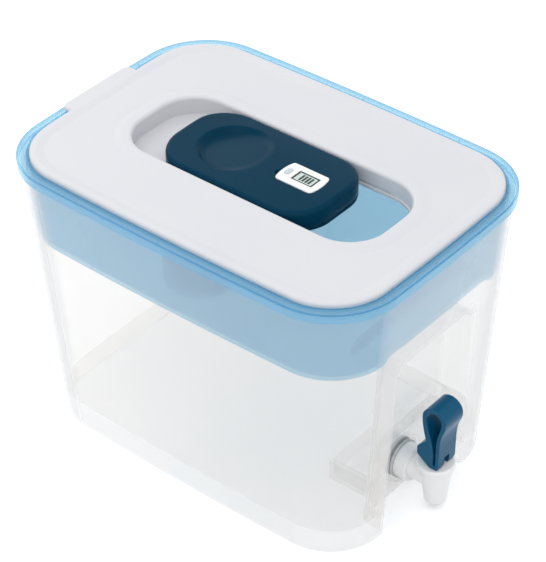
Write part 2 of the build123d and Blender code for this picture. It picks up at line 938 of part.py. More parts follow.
# Shallow dish in the lid's top, between its border and the recess's raised lip
with BuildPart() as lid_dish:
    low = rim_section(lid_top - lid_dish_depth, lid_inset + lid_border + lid_border_slope)
    high = rim_section(lid_top, lid_inset + lid_border)
    loft([low, high])
    low = recess_section(lid_top - lid_dish_depth, recess_lip_radius + recess_lip + lid_border_slope)
    high = recess_section(lid_top, recess_lip_radius + recess_lip)
    loft([low, high], mode=Mode.SUBTRACT)

plate_bottom = lid_top - lid_plate
tab_bottom = rim_top + seat_gap
tub_bottom = recess_floor - recess_floor_thickness
tongue_low = recess_floor + seat_gap + (base_plate - tongue_thickness) / 2

# White lid with its skirt, grip tab, oblong recess and pour opening
with BuildPart() as lid:
    extrude(rim_section(plate_bottom, lid_inset), amount=lid_plate)
    with BuildSketch(level(tab_bottom)) as tab:
        with Locations((0, rim_length / 2 - lid_inset)):
            Rectangle(tab_width, 2 * lid_inset)
        fillet(tab.vertices().group_by(Axis.Y)[-1], radius=tab_corner)
    extrude(amount=lid_top - tab_bottom)
    fillet(lid.edges().group_by(Axis.Z)[-1], radius=lid_edge_radius)
    extrude(recess_section(tub_bottom, 0), amount=lid_top - tub_bottom, mode=Mode.SUBTRACT)
    lip_edges = lid.edges().group_by(Axis.Z)[-1]
    half = recess_width / 2 + moving_gap
    lip_edges = lip_edges.filter_by_position(Axis.X, -half, half)
    half = recess_length / 2 + moving_gap
    middle = body_shift + recess_middle
    lip_edges = lip_edges.filter_by_position(Axis.Y, middle - half, middle + half)
    fillet(lip_edges, radius=recess_lip_radius)
    add(lid_dish.part, mode=Mode.SUBTRACT)
    with BuildSketch(level(tub_bottom)):
        add(recess_face(recess_wall))
        add(recess_face(0), mode=Mode.SUBTRACT)
    extrude(amount=plate_bottom - tub_bottom)
    extrude(recess_section(tub_bottom, recess_wall), amount=recess_floor_thickness)
    skirt_bottom = rim_top - shelf_drop + seat_gap
    skirt = rim_ring(skirt_bottom, lid_inset, lid_inset + lid_skirt)
    extrude(skirt, amount=plate_bottom - skirt_bottom)
    with BuildSketch(level(tub_bottom)):
        add(recess_face(-pour_ledge))
        with Locations((0, pour_back - recess_length)):
            Rectangle(recess_width, 2 * recess_length, mode=Mode.INTERSECT)
    extrude(amount=recess_floor_thickness, mode=Mode.SUBTRACT)
    groove_length = tongue_length + slide_open + slide_close + 2 * moving_gap
    with BuildSketch(level(tongue_low - seat_gap)):
        with Locations((0, cover_middle + (slide_open - slide_close) / 2)):
            Rectangle(
                recess_width - 2 * cover_side_gap + 2 * tongue_proud + 2 * moving_gap,
                groove_length,
            )
    extrude(amount=tongue_thickness + 2 * seat_gap, mode=Mode.SUBTRACT)

lid.part.label = "lid"
export_step(lid.part, "parts/lid.step")

# Sliding cover's outline and levels
cover_width = recess_width - 2 * cover_side_gap
plate_low = recess_floor + seat_gap
cover_low = plate_low + base_plate
pocket_floor = cover_crown + indicator_proud - indicator_height
hollow_top = cover_crown - cover_crown_drop - cover_skin


def cover_face(grow):
    """Oblong outline of the sliding cover, larger all round by grow."""
    with BuildSketch(mode=Mode.PRIVATE) as face:
        with Locations((0, cover_middle)):
            RectangleRounded(
                cover_width + 2 * grow,
                cover_length + 2 * grow,
                cover_corner + grow,
            )
    return face.sketch


def indicator_face(grow):
    """Outline of the indicator with gently bulging short ends."""
    half = indicator_width / 2 + grow
    end = indicator_length / 2 + grow
    shoulder = end - indicator_bow
    with BuildSketch(mode=Mode.PRIVATE) as face:
        with BuildLine():
            Line((half, -shoulder), (half, shoulder))
            ThreePointArc((half, shoulder), (0, end), (-half, shoulder))
            Line((-half, shoulder), (-half, -shoulder))
            ThreePointArc((-half, -shoulder), (0, -end), (half, -shoulder))
        make_face()
        fillet(face.vertices(), radius=indicator_corner + grow)
    return face.sketch


def indicator_section(height, grow):
    """Draw the indicator's outline at this height in the cover."""
    with BuildSketch(level(height)) as section:
        with Locations((0, indicator_middle)):
            add(indicator_face(grow))
    return section.sketch


# Finger scoop: a round, tilted dish, deepest at the back
with BuildPart() as finger_scoop:
    scoop_tilt = scoop_depth / (2 * scoop_radius)
    scoop_plane = Plane(
        origin=(0, body_shift + scoop_middle, cover_crown - scoop_depth / 2),
        x_dir=(1, 0, 0),
        z_dir=(0, scoop_tilt, 1),
    )
    with BuildSketch(scoop_plane):
        Circle(scoop_radius)
    extrude(amount=3 * scoop_depth)
    fillet(finger_scoop.edges().group_by(Axis.Z)[0], radius=scoop_round_share * scoop_depth)

# Hollow under the cover, kept clear of the scoop and the indicator's pocket
with BuildPart() as cover_hollow:
    with BuildSketch(level(cover_low)):
        add(cover_face(-cover_wall))
    extrude(amount=hollow_top - cover_low)
    with BuildSketch(level(cover_crown - scoop_depth - cover_wall)):
        with Locations((0, scoop_middle)):
            Rectangle(2 * (scoop_radius + cover_wall), 2 * (scoop_radius + cover_wall))
    extrude(amount=scoop_depth + cover_wall, mode=Mode.SUBTRACT)
    with BuildSketch(level(pocket_floor - cover_wall)):
        with Locations((0, indicator_middle)):
            Rectangle(indicator_width + 2 * cover_wall, indicator_length + 2 * cover_wall)
    extrude(amount=indicator_height, mode=Mode.SUBTRACT)

# Blue sliding cover with a crowned top
with BuildPart() as slide_cover:
    with BuildSketch(level(cover_low)):
        add(cover_face(0))
    extrude(amount=cover_crown - cover_low)
    crown_plane = Plane(
        origin=(0, body_shift + cover_middle - cover_length, 0),
        x_dir=(-1, 0, 0),
        z_dir=(0, 1, 0),
    )
    with BuildSketch(crown_plane):
        with BuildLine():
            ThreePointArc(
                (-cover_width / 2, cover_crown - cover_crown_drop),
                (0, cover_crown),
                (cover_width / 2, cover_crown - cover_crown_drop),
            )
            Polyline(
                (cover_width / 2, cover_crown - cover_crown_drop),
                (cover_width / 2, cover_low),
                (-cover_width / 2, cover_low),
                (-cover_width / 2, cover_crown - cover_crown_drop),
            )
        make_face()
    extrude(amount=2 * cover_length, mode=Mode.INTERSECT)
    fillet(slide_cover.faces().sort_by(Axis.Z)[-1].edges(), radius=cover_edge_radius)
    add(finger_scoop.part, mode=Mode.SUBTRACT)
    add(cover_hollow.part, mode=Mode.SUBTRACT)
    pocket = indicator_section(pocket_floor, seat_gap)
    extrude(pocket, amount=2 * indicator_height, mode=Mode.SUBTRACT)
    notch_y = indicator_middle + indicator_length / 2
    with BuildSketch(level(cover_crown - thumb_notch_radius)):
        with Locations((thumb_notch_shift, notch_y)):
            Circle(thumb_notch_radius)
    extrude(amount=2 * thumb_notch_radius, mode=Mode.SUBTRACT)

slide_cover.part.label = "slide_cover"
export_step(slide_cover.part, "parts/slide_cover.step")

# Plate under the cover, whose tongues run in the grooves of the recess
with BuildPart() as slide_plate:
    with BuildSketch(level(plate_low)):
        add(cover_face(0))
    extrude(amount=base_plate)
    with BuildSketch(level(tongue_low)):
        with Locations((0, cover_middle)):
            Rectangle(cover_width + 2 * tongue_proud, tongue_length)
    extrude(amount=tongue_thickness)

slide_plate.part.label = "slide_plate"
export_step(slide_plate.part, "parts/slide_plate.step")

# Levels inside the indicator
indicator_top = cover_crown + indicator_proud
board_low = pocket_floor + battery_thickness
board_top = board_low + board_thickness
button_low = board_top + button_travel + seat_gap

# White case of the indicator
with BuildPart() as indicator_case:
    extrude(indicator_section(pocket_floor, 0), amount=indicator_height)
    fillet(indicator_case.edges().group_by(Axis.Z)[-1], radius=indicator_round)
    hollow = indicator_section(pocket_floor, -indicator_wall)
    extrude(hollow, amount=indicator_height - indicator_wall, mode=Mode.SUBTRACT)
    with BuildSketch(level(pocket_floor)):
        with Locations((0, indicator_middle + screen_shift)):
            Rectangle(screen_width + 2 * thread_gap, screen_length + 2 * thread_gap)
        with Locations((0, indicator_middle + button_shift)):
            SlotOverall(button_width + 2 * seat_gap, button_length + 2 * seat_gap)
    extrude(amount=indicator_height, mode=Mode.SUBTRACT)

indicator_case.part.label = "indicator_case"
export_step(indicator_case.part, "parts/indicator_case.step")

# Display, standing on the board and showing in the case's window
with BuildPart() as indicator_screen:
    with BuildSketch(level(board_top)):
        with Locations((0, indicator_middle + screen_shift)):
            Rectangle(screen_width, screen_length)
    extrude(amount=indicator_top - screen_sink - board_top)

indicator_screen.part.label = "indicator_screen"
export_step(indicator_screen.part, "parts/indicator_screen.step")

# Circuit board
with BuildPart() as indicator_board:
    extrude(indicator_section(board_low, -indicator_wall - seat_gap), amount=board_thickness)

indicator_board.part.label = "indicator_board"
export_step(indicator_board.part, "parts/indicator_board.step")

# Coin cell under the board
with BuildPart() as indicator_battery:
    with BuildSketch(level(pocket_floor)):
        with Locations((0, indicator_middle)):
            Circle(battery_radius)
    extrude(amount=battery_thickness)

indicator_battery.part.label = "indicator_battery"
export_step(indicator_battery.part, "parts/indicator_battery.step")

# Reset button with a wider foot inside the case
with BuildPart() as reset_button:
    with BuildSketch(level(button_low)):
        with Locations((0, indicator_middle + button_shift)):
            SlotOverall(button_width, button_length)
    extrude(amount=indicator_top + button_proud - button_low)
    with BuildSketch(level(button_low)):
        with Locations((0, indicator_middle + button_shift)):
            SlotOverall(button_width + 2 * button_rim, button_length + 2 * button_rim)
    extrude(amount=indicator_top - indicator_wall - seat_gap - button_low)

reset_button.part.label = "reset_button"
export_step(reset_button.part, "parts/reset_button.step")
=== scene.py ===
import math

import bpy
import numpy as np
from mathutils import Matrix, Vector


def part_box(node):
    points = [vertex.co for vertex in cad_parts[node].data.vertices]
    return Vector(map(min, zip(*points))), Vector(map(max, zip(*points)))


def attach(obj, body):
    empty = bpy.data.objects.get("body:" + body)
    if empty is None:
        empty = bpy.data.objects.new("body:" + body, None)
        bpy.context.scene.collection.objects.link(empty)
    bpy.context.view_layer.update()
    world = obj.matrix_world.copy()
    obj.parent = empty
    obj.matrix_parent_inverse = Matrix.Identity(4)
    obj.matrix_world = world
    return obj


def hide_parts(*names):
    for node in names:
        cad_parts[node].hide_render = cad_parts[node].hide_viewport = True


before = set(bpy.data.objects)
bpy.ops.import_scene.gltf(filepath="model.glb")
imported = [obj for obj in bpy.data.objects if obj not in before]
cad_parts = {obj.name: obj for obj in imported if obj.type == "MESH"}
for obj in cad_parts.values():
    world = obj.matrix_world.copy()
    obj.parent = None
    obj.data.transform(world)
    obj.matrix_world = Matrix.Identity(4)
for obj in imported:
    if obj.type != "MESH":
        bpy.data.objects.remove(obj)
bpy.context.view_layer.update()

# The camera stands two metres off the front left corner and looks down on the lid, so that the upright
# edges run almost parallel.
image_height = 562
focal_pixels = 2296.1
sensor = 36
camera_target = Vector((0.07083, 0.057155, 0.07757))
camera_distance = 1.9998
turn, tilt, lean = (math.radians(angle) for angle in (-49.67, 37.56, -1.038))
camera_back = Vector((math.sin(turn) * math.cos(tilt), -math.cos(turn) * math.cos(tilt), math.sin(tilt)))
level_right = (-camera_back).cross(Vector((0, 0, 1))).normalized()
level_up = level_right.cross(-camera_back)
camera_right = level_right * math.cos(lean) + level_up * math.sin(lean)
camera_up = level_up * math.cos(lean) - level_right * math.sin(lean)
camera_data = bpy.data.cameras.new("camera")
camera_data.lens = focal_pixels * sensor / image_height
camera_data.sensor_width = sensor
camera_data.clip_start, camera_data.clip_end = 0.05, 50
camera = bpy.data.objects.new("camera", camera_data)
scene = bpy.context.scene
scene.collection.objects.link(camera)
camera_axes = Matrix((camera_right, camera_up, camera_back)).transposed().to_4x4()
camera.matrix_world = Matrix.Translation(camera_target + camera_back * camera_distance) @ camera_axes
scene.camera = camera
scene.view_settings.view_transform = "Standard"
# A line of sight can cross many faces of the clear tank and hopper, and up to this many are seen through.
clear_faces_in_line = 32
scene.cycles.transparent_max_bounces = clear_faces_in_line


# Tank: one thin-walled injection moulding in clear styrene, frosted by a fine spark-eroded mould. Its
# floor, the tap's bay and the arched rib over the tap are part of it.
def linear(hex_colour):
    """sRGB hex value turned to linear red, green and blue, with a full alpha."""
    parts = [int(hex_colour[i : i + 2], 16) / 255 for i in (1, 3, 5)]
    return tuple(c / 12.92 if c <= 0.04045 else ((c + 0.055) / 1.055) ** 2.4 for c in parts) + (1.0,)


def add_node(tree, kind, sockets=None, **settings):
    """Adds a node. settings are its own properties, sockets maps an input to a value or to an output."""
    made = tree.nodes.new(kind)
    for name, value in settings.items():
        setattr(made, name, value)
    for key, value in (sockets or {}).items():
        if isinstance(value, bpy.types.NodeSocket):
            tree.links.new(value, made.inputs[key])
        else:
            made.inputs[key].default_value = value
    return made


def finish(name, **sockets):
    """New material with one Principled shader. sockets are its inputs, with _ for a space."""
    material = bpy.data.materials.new(name)
    material.use_nodes = True
    tree = material.node_tree
    tree.nodes.clear()
    values = {key.replace("_", " "): value for key, value in sockets.items()}
    shader = add_node(tree, "ShaderNodeBsdfPrincipled", values)
    add_node(tree, "ShaderNodeOutputMaterial", {"Surface": shader.outputs[0]})
    return material, tree, shader


def mottled(tree, colours, size):
    """Colour that drifts between two hex values, in patches of about size metres. Returns its output."""
    where = add_node(tree, "ShaderNodeTexCoord").outputs["Object"]
    patches = add_node(tree, "ShaderNodeTexNoise", {"Vector": where, "Scale": 1 / size, "Detail": 2.0})
    both = {"Factor": patches.outputs["Fac"], 6: linear(colours[0]), 7: linear(colours[1])}
    return add_node(tree, "ShaderNodeMix", both, data_type="RGBA").outputs[2]


def grained(tree, shader, size, height):
    """Moulded grain in the surface, with dimples about size metres wide and height metres deep."""
    where = add_node(tree, "ShaderNodeTexCoord").outputs["Object"]
    grain = add_node(tree, "ShaderNodeTexNoise", {"Vector": where, "Scale": 1 / size, "Detail": 1.0})
    bump = {"Height": grain.outputs["Fac"], "Strength": 0.5, "Distance": height}
    tree.links.new(add_node(tree, "ShaderNodeBump", bump).outputs[0], shader.inputs["Normal"])


def see_through(tree, shader, square_on, glancing, tint):
    """Makes each face of a thin clear wall pass a share of the light straight on, coloured by tint: the
    share square_on until the face turns away by edge_start, then falling to glancing along it. A lamp's
    light all passes."""
    edge_start = 0.3
    facing = add_node(tree, "ShaderNodeLayerWeight", {"Blend": 0.3}).outputs["Facing"]
    share = {"Value": facing, "From Min": edge_start, "To Min": square_on, "To Max": glancing}
    share = add_node(tree, "ShaderNodeMapRange", share).outputs[0]
    shadow = add_node(tree, "ShaderNodeLightPath").outputs["Is Shadow Ray"]
    share = add_node(tree, "ShaderNodeMath", {0: share, 1: shadow}, operation="MAXIMUM").outputs[0]
    clear = add_node(tree, "ShaderNodeBsdfTransparent", {"Color": linear(tint)})
    both = {0: share, 1: shader.outputs[0], 2: clear.outputs[0]}
    both = add_node(tree, "ShaderNodeMixShader", both)
    ending = next(node for node in tree.nodes if node.type == "OUTPUT_MATERIAL")
    tree.links.new(both.outputs[0], ending.inputs["Surface"])


def dress(material, *nodes):
    """Gives these CAD nodes the material on every slot."""
    for node in nodes:
        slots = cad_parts[node].data.materials
        for i in range(len(slots)):
            slots[i] = material


# Frosted styrene: faintly milky where seen square on, and whiter along its edges and corners.
frosted_styrene, tree, shader = finish("frosted_styrene", Roughness=0.3, IOR=1.59)
tree.links.new(mottled(tree, ("#FDFEFF", "#F8FAFC"), 0.05), shader.inputs["Base Color"])
grained(tree, shader, 0.0012, 0.00003)
see_through(tree, shader, 0.88, 0.15, "#FEFDFC")
dress(frosted_styrene, "tank_shell")

# Hopper: one moulding in clear light blue styrene, with the bowl and the cartridge's well in one piece. It
# hangs in the tank by its rim.
# Heights between which the rim's lips get their painted shade, a deeper blue.
lip_foot, lip_top = 0.2596, 0.2600

# Clear blue styrene: sky blue and lightly glossy. The rim's thin lips, near its top, are painted a deeper
# blue:
# painted shade standing in for the light that the sheet gathers and bends along its edges.
clear_blue, tree, shader = finish("clear_blue_styrene", Roughness=0.12, IOR=1.59)
where = add_node(tree, "ShaderNodeTexCoord").outputs["Object"]
height = add_node(tree, "ShaderNodeSeparateXYZ", {0: where}).outputs["Z"]
# Painted shade: the band from lip_foot to lip_top turns from the sheet's sky blue to a deeper blue.
painted_lip_shade = {"Value": height, "From Min": lip_foot, "From Max": lip_top}
painted_lip_shade = add_node(tree, "ShaderNodeMapRange", painted_lip_shade).outputs[0]
sheet = mottled(tree, ("#BEE6F9", "#B2DFF6"), 0.05)
painted_lip_shade = add_node(tree, "ShaderNodeMix", {"Factor": painted_lip_shade, 6: sheet, 7: linear("#2A7FAA")}, data_type="RGBA")
tree.links.new(painted_lip_shade.outputs[2], shader.inputs["Base Color"])
grained(tree, shader, 0.004, 0.00002)
see_through(tree, shader, 0.72, 0.15, "#D6EEF8")
dress(clear_blue, "hopper")

# Filter cartridge: a white polypropylene cup and slotted cap, spun together and filled with charcoal and
# resin granules on a fine screen. A pull ring lifts it out of its silicone seal.

# Moulded white polypropylene: matt, with a trace of grain.
white_cup, tree, shader = finish("white_cup_polypropylene", Roughness=0.4, IOR=1.49)
tree.links.new(mottled(tree, ("#F1F1F1", "#E9EAEC"), 0.03), shader.inputs["Base Color"])
grained(tree, shader, 0.0008, 0.00003)
dress(white_cup, "cartridge_shell", "cartridge_cap", "pull_ring")

# Charcoal beside pale resin beads, dull and uneven.
bead_width, resin_share, bead_height = 0.0008, 0.4, 0.0004
granules, tree, shader = finish("charcoal_and_resin_granules", Roughness=0.85, IOR=1.5)
where = add_node(tree, "ShaderNodeTexCoord").outputs["Object"]
beads = add_node(tree, "ShaderNodeTexVoronoi", {"Vector": where, "Scale": 1 / bead_width})
kind = add_node(tree, "ShaderNodeSeparateColor", {0: beads.outputs["Color"]}).outputs[0]
kind = {0: kind, 1: resin_share}
kind = add_node(tree, "ShaderNodeMath", kind, operation="GREATER_THAN").outputs[0]
mix = {"Factor": kind, 6: linear("#C7B48A"), 7: linear("#242426")}
mix = add_node(tree, "ShaderNodeMix", mix, data_type="RGBA")
tree.links.new(mix.outputs[2], shader.inputs["Base Color"])
bump = {"Height": beads.outputs["Distance"], "Strength": 0.8, "Distance": bead_height}
tree.links.new(add_node(tree, "ShaderNodeBump", bump, invert=True).outputs[0], shader.inputs["Normal"])
dress(granules, "cartridge_media")

# Woven polyester screen; its threads are drawn 0.5 mm apart, since the real 0.15 mm can't be seen. The wave
# pattern advances by 20 radians for each unit of its scaled place.
thread_spacing, wave_radians = 0.0005, 20
screen_cloth, tree, shader = finish("woven_polyester_screen", Roughness=0.7, IOR=1.6)
where = add_node(tree, "ShaderNodeTexCoord").outputs["Object"]
weave = {"Vector": where, "Scale": 2 * math.pi / wave_radians / thread_spacing}
threads = [
    add_node(tree, "ShaderNodeTexWave", weave, wave_type="BANDS", bands_direction=way) for way in "XY"
]
both = {0: threads[0].outputs["Fac"], 1: threads[1].outputs["Fac"]}
both = add_node(tree, "ShaderNodeMath", both, operation="MULTIPLY").outputs[0]
mix = {"Factor": both, 6: linear("#8F9296"), 7: linear("#EDEDED")}
mix = add_node(tree, "ShaderNodeMix", mix, data_type="RGBA")
tree.links.new(mix.outputs[2], shader.inputs["Base Color"])
dress(screen_cloth, "cartridge_screen")

# Grey silicone, pressed in a mould: matt, slightly dusty.
silicone, tree, shader = finish("grey_silicone", Roughness=0.6, IOR=1.43)
tree.links.new(mottled(tree, ("#BFC4C8", "#AEB3B8"), 0.008), shader.inputs["Base Color"])
grained(tree, shader, 0.0006, 0.00003)
dress(silicone, "well_seal", "outer_gasket", "inner_gasket", "valve_cup")

# Tap: white polypropylene mouldings. The shank goes through the boss between two gaskets and is held by
# the lock nut inside, and the bonnet is screwed on over the valve's stem and cup.

# Satin white polypropylene: soft, broad highlights on the round pipe and bonnet.
tap_white, tree, shader = finish("satin_white_polypropylene", Roughness=0.3, IOR=1.49)
tree.links.new(mottled(tree, ("#F6F6F6", "#F1F1F1"), 0.02), shader.inputs["Base Color"])
grained(tree, shader, 0.0008, 0.00002)
dress(tap_white, "tap_body", "tap_bonnet", "tap_collar", "lock_nut", "valve_stem")

# Ground stainless steel, on the lever's pin and the battery's can: grey, with a soft even highlight.
ground_steel, tree, shader = finish("ground_stainless_steel", Roughness=0.28, Metallic=1.0)
tree.links.new(mottled(tree, ("#C2C4C6", "#A9ABAE"), 0.004), shader.inputs["Base Color"])
grained(tree, shader, 0.0003, 0.00001)
dress(ground_steel, "lever_pin", "indicator_battery")

# Lever: one moulding in deep blue polypropylene, a band bent into a tall loop. It turns on the steel pin in
# the stem.

# Deep blue polypropylene: satin, with light only along the band's rounded edges.
lever_gloss = {"Roughness": 0.3, "IOR": 1.49, "Specular_IOR_Level": 0.2}
lever_blue, tree, shader = finish("deep_blue_polypropylene", **lever_gloss)
tree.links.new(mottled(tree, ("#00587C", "#004E70"), 0.02), shader.inputs["Base Color"])
grained(tree, shader, 0.0009, 0.00003)
dress(lever_blue, "tap_lever")

# Lid: one white polypropylene moulding, laid loose in the hopper's rim. Its oblong recess and its grip tab
# are moulded with it.

# Finely eroded polypropylene: a cool white, matt all over, so that the dish and recess only shade softly.
lid_white, tree, shader = finish("satin_eroded_polypropylene", Roughness=0.42, IOR=1.49)
tree.links.new(mottled(tree, ("#DADBDF", "#D5D6DB"), 0.08), shader.inputs["Base Color"])
grained(tree, shader, 0.0009, 0.00004)
dress(lid_white, "lid")

# Sliding cover: a thick-edged shell in petrol blue ABS with a crowned top, a rolled edge and a round
# finger scoop that fades out to the front. It is clipped on a flat plate whose tongues run in the recess.
cover_low, cover_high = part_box("slide_cover")
case_low, case_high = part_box("indicator_case")
cover_width, cover_length, _ = cover_high - cover_low
cover_middle = (np.array(cover_low) + np.array(cover_high))[:2] / 2
pocket_middle = (np.array(case_low) + np.array(case_high))[:2] / 2
cover_corner, cover_drop = 0.0325, 0.0026
cover_roll, cover_waist, cover_foot = 0.004, 0.006, 0.0005
scoop_radius, scoop_depth, scoop_wall, scoop_steepness = 0.032, 0.0066, 0.0075, 0.7
scoop_middle = cover_middle + (0, 0.0265)
notch_radius, notch_depth, notch_wall = 0.0036, 0.0032, 0.0015
notch_middle = pocket_middle + (-0.005, 0.01975)
pocket_width, pocket_length, pocket_corner, pocket_bow = 0.0264, 0.0356, 0.0033, 0.0023
bow_start, pocket_round = 0.0145, 0.0004
pocket_depth, pocket_foot, pocket_waist, pocket_lip = 0.00775, 0.0002, 0.004, 0.0012
rays, crown_rings, roll_rings, lip_rings = 360, 150, 10, 4


def oblong(width, length, corner, steps):
    """Rectangle with round corners, at evenly spaced points. Each is a corner's middle plus the corner's
    radius along the outward direction, which turns once round while the straight sides join the corners.
    Returns the points and their outward directions."""
    in_corner = 33
    turns = np.concatenate([np.linspace(k, k + 1, in_corner) for k in range(4)]) * np.pi / 2
    signs = np.repeat([(1, 1), (-1, 1), (-1, -1), (1, -1)], in_corner, axis=0)
    middles = signs * np.array((width / 2 - corner, length / 2 - corner))
    path = middles + corner * np.stack([np.cos(turns), np.sin(turns)], axis=1)
    path, turns = np.vstack([path, path[:1]]), np.append(turns, 2 * np.pi)
    run = np.append(0, np.cumsum(np.hypot(*np.diff(path, axis=0).T)))
    at = np.arange(steps) / steps * run[-1]
    turn = np.interp(at, run, turns)
    points = np.stack([np.interp(at, run, path[:, 0]), np.interp(at, run, path[:, 1])], axis=1)
    return points, np.stack([np.cos(turn), np.sin(turn)], axis=1)


def smooth(share):
    """Rises from 0 to 1 with level ends as share goes from 0 to 1: three squares less two cubes."""
    share = np.clip(share, 0, 1)
    return share * share * (3 - 2 * share)


def skin(name, rings, material):
    """Closed surface through a stack of rings with as many points each: quads from ring to ring, and a fan
    round the middle of the first and of the last. The sign of the volume turns the faces outwards."""
    count, around = rings.shape[:2]
    ends = rings[[0, -1]].mean(axis=1)
    points = np.vstack([rings.reshape(-1, 3), ends])
    i, j = np.meshgrid(np.arange(count - 1), np.arange(around), indexing="ij")
    here, after = i * around + j, i * around + (j + 1) % around
    quads = np.stack([here, after, after + around, here + around], axis=-1).reshape(-1, 4)
    first = np.arange(around)
    following, last = (first + 1) % around, (count - 1) * around
    top = np.full(around, count * around)
    fans = np.stack([following, first, top], axis=1)
    fans = np.vstack([fans, np.stack([last + first, last + following, top + 1], axis=1)])
    a, b, c, d = (points[quads[:, k]] for k in range(4))
    volume = (np.einsum("ij,ij->i", a, np.cross(b, c)) + np.einsum("ij,ij->i", a, np.cross(c, d))).sum()
    if volume < 0:
        quads, fans = quads[:, ::-1], fans[:, ::-1]
    mesh = bpy.data.meshes.new(name)
    mesh.from_pydata(points, [], quads.tolist() + fans.tolist())
    mesh.polygons.foreach_set("use_smooth", np.ones(len(mesh.polygons), bool))
    mesh.set_sharp_from_angle(angle=math.radians(50))
    mesh.materials.append(material)
    made = bpy.data.objects.new(name, mesh)
    scene.collection.objects.link(made)
    return made


def cover_top(points):
    """Height of the cover's top: a crown that drops with the square of X, less the finger scoop, whose
    floor slopes down to the back and whose wall rises smoothly at its round edge, less the thumb notch."""
    x, y = points[..., 0], points[..., 1]
    crown = cover_high.z - cover_drop * (x / (cover_width / 2)) ** 2
    inside = scoop_radius - np.hypot(x - scoop_middle[0], y - scoop_middle[1])
    slope = np.clip((y - scoop_middle[1] + scoop_radius) / (2 * scoop_radius), 0, 1)
    scoop = scoop_depth * slope * smooth(inside / scoop_wall) ** scoop_steepness
    notch = notch_radius - np.hypot(x - notch_middle[0], y - notch_middle[1])
    return crown - scoop - notch_depth * smooth(notch / notch_wall)


# The rings run from the pocket's floor up its wall, out over the crown, round the rolled edge and down the
# side. Each ray leaves the pocket's middle and meets the pocket's bowed outline and the cover's.
outline, outward = oblong(cover_width, cover_length, cover_corner, rays)
outline = outline + cover_middle
hole, _ = oblong(pocket_width, pocket_length, pocket_corner, 2 * rays)
swell = np.clip((np.abs(hole[:, 1]) - bow_start) / pocket_corner, 0, 1) * pocket_bow
swell = swell * (1 - (hole[:, 0] / (pocket_width / 2)) ** 2)
hole[:, 1] += np.sign(hole[:, 1]) * swell
hole_turn, hole_reach = np.arctan2(hole[:, 1], hole[:, 0]), np.hypot(hole[:, 0], hole[:, 1])
ray = outline - outward * cover_roll - pocket_middle
ray_turn, ray_reach = np.arctan2(ray[:, 1], ray[:, 0]), np.hypot(ray[:, 0], ray[:, 1])
ray = ray / ray_reach[:, None]
order = np.argsort(hole_turn)
near = np.interp(ray_turn, hole_turn[order], hole_reach[order], period=2 * np.pi)
edge = pocket_middle + ray * near[:, None]
quarter = math.pi / 2
pocket_floor = cover_high.z - pocket_depth
wall_heights = (pocket_floor, pocket_floor + pocket_foot, cover_high.z - pocket_waist)
rings = [np.column_stack([edge, np.full(rays, height)]) for height in wall_heights]
rings.append(np.column_stack([edge, np.full(rays, cover_high.z - pocket_lip)]))
for share in np.linspace(0, 1, lip_rings):
    flat = edge + ray * pocket_round * (1 - math.cos(share * quarter))
    drop = pocket_round * (1 - math.sin(share * quarter))
    rings.append(np.column_stack([flat, cover_top(flat) - drop]))
for share in np.linspace(0, 1, crown_rings)[1:]:
    reach = near + pocket_round + (ray_reach - near - pocket_round) * share
    flat = pocket_middle + ray * reach[:, None]
    rings.append(np.column_stack([flat, cover_top(flat)]))
for share in np.linspace(0, 1, roll_rings)[1:]:
    flat = outline - outward * cover_roll * (1 - math.sin(share * quarter))
    drop = cover_roll * (1 - math.cos(share * quarter))
    rings.append(np.column_stack([flat, cover_top(flat) - drop]))
for rise, inset in ((cover_waist, 0), (cover_foot, 0), (0, cover_foot)):
    rings.append(np.column_stack([outline - outward * inset, np.full(rays, cover_low.z + rise)]))

# Petrol blue ABS with an eroded matt skin: dark and even, with a dull sheen along the rolled edge.
cover_gloss = {"Roughness": 0.3, "IOR": 1.52, "Specular_IOR_Level": 0.05}
petrol_abs, tree, shader = finish("petrol_blue_abs", **cover_gloss)
tree.links.new(mottled(tree, ("#00374F", "#003248"), 0.03), shader.inputs["Base Color"])
grained(tree, shader, 0.0008, 0.00003)
dress(petrol_abs, "slide_plate")
cover = skin("cover_moulding", np.array(rings), petrol_abs)
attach(cover, "cover")
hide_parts("slide_cover")

# Filter change indicator: a white ABS case snapped into the cover's pocket, with a small liquid crystal
# display and a reset button. Its board and coin cell are hidden in the case.

# Polished white ABS for the case, grey-blue rubber for the button and green laminate for the board.
case_white, tree, shader = finish("gloss_white_abs", Roughness=0.25, IOR=1.53)
tree.links.new(mottled(tree, ("#F4F4F4", "#EFF0F1"), 0.01), shader.inputs["Base Color"])
grained(tree, shader, 0.0008, 0.00001)
dress(case_white, "indicator_case")
button_grey, tree, shader = finish("grey_blue_button_rubber", Roughness=0.5, IOR=1.5)
tree.links.new(mottled(tree, ("#CBD5DE", "#C0CBD6"), 0.004), shader.inputs["Base Color"])
grained(tree, shader, 0.0005, 0.00002)
dress(button_grey, "reset_button")
board_green, tree, shader = finish("green_board_laminate", Roughness=0.45, IOR=1.55)
tree.links.new(mottled(tree, ("#1E6B3C", "#195C33"), 0.006), shader.inputs["Base Color"])
grained(tree, shader, 0.0006, 0.00002)
dress(board_green, "indicator_board")

# Display: pale green liquid crystal behind glass, with a black border and four black bars, sharp-edged.
glass_low, glass_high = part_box("indicator_screen")
display_middle = (glass_low + glass_high) / 2
border_x, border_y = 0.0050, 0.0086
bar_half, bar_front, bar_pitch, bar_share, bar_count = 0.0040, -0.0072, 0.0030, 0.32, 4
display_glass, tree, shader = finish("liquid_crystal_glass", Roughness=0.12, IOR=1.52)
where = add_node(tree, "ShaderNodeTexCoord").outputs["Object"]
centred = {"Vector": where, "Location": (-display_middle.x, -display_middle.y, 0)}
centred = add_node(tree, "ShaderNodeMapping", centred).outputs[0]
place = add_node(tree, "ShaderNodeSeparateXYZ", {0: centred})

